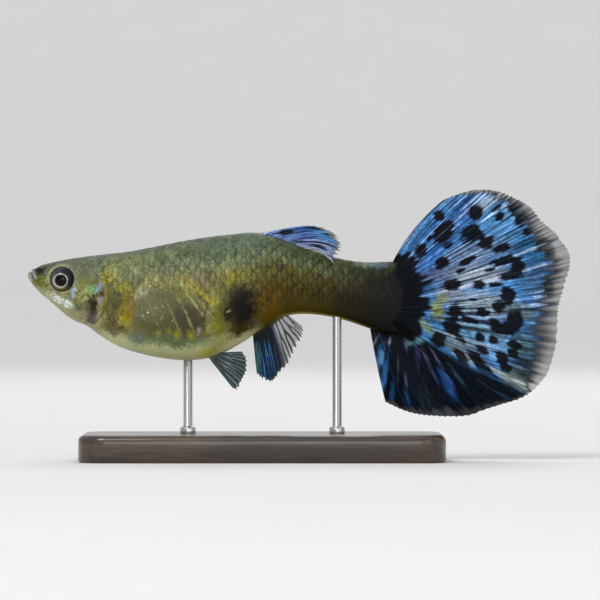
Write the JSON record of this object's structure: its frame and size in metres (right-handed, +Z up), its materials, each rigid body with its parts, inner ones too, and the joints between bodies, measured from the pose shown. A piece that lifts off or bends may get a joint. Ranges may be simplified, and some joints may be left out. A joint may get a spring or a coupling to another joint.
{
  "type": "fancy guppy",
  "caption": "Life-size museum model of a female fancy guppy with a large spotted fan tail, head, fins and eyes in full relief, held level on two short rods over a flat lacquered base.",
  "frame": {"origin": "middle of the underside of the stand's base", "axes": "+X runs from the fish's head to its tail, +Y to its right side, +Z up; the fish's left side faces -Y"},
  "size_m": [0.0599, 0.019, 0.03],
  "materials": {
    "skin": "satin, like wet scaled skin",
    "eye": "glossy",
    "tail_membrane": "satin",
    "blue_membrane": "satin",
    "clear_membrane": "satin, half clear",
    "stand_wood": "dark lacquer",
    "stand_steel": "brushed"
  },
  "bodies": {
    "root": {"head": "skin", "trunk": "skin", "tail_stalk": "skin", "gill_cover_left": "skin", "gill_cover_right": "skin", "eye_left": "eye", "eye_right": "eye", "tail_fin": "tail_membrane", "dorsal_fin": "blue_membrane", "anal_fin": "blue_membrane", "pelvic_fin_left": "clear_membrane", "pelvic_fin_right": "clear_membrane", "pectoral_fin_left": "clear_membrane", "pectoral_fin_right": "clear_membrane", "stand_base": "stand_wood", "stand_rod_front": "stand_steel", "stand_rod_back": "stand_steel"}
  },
  "joints": []
}
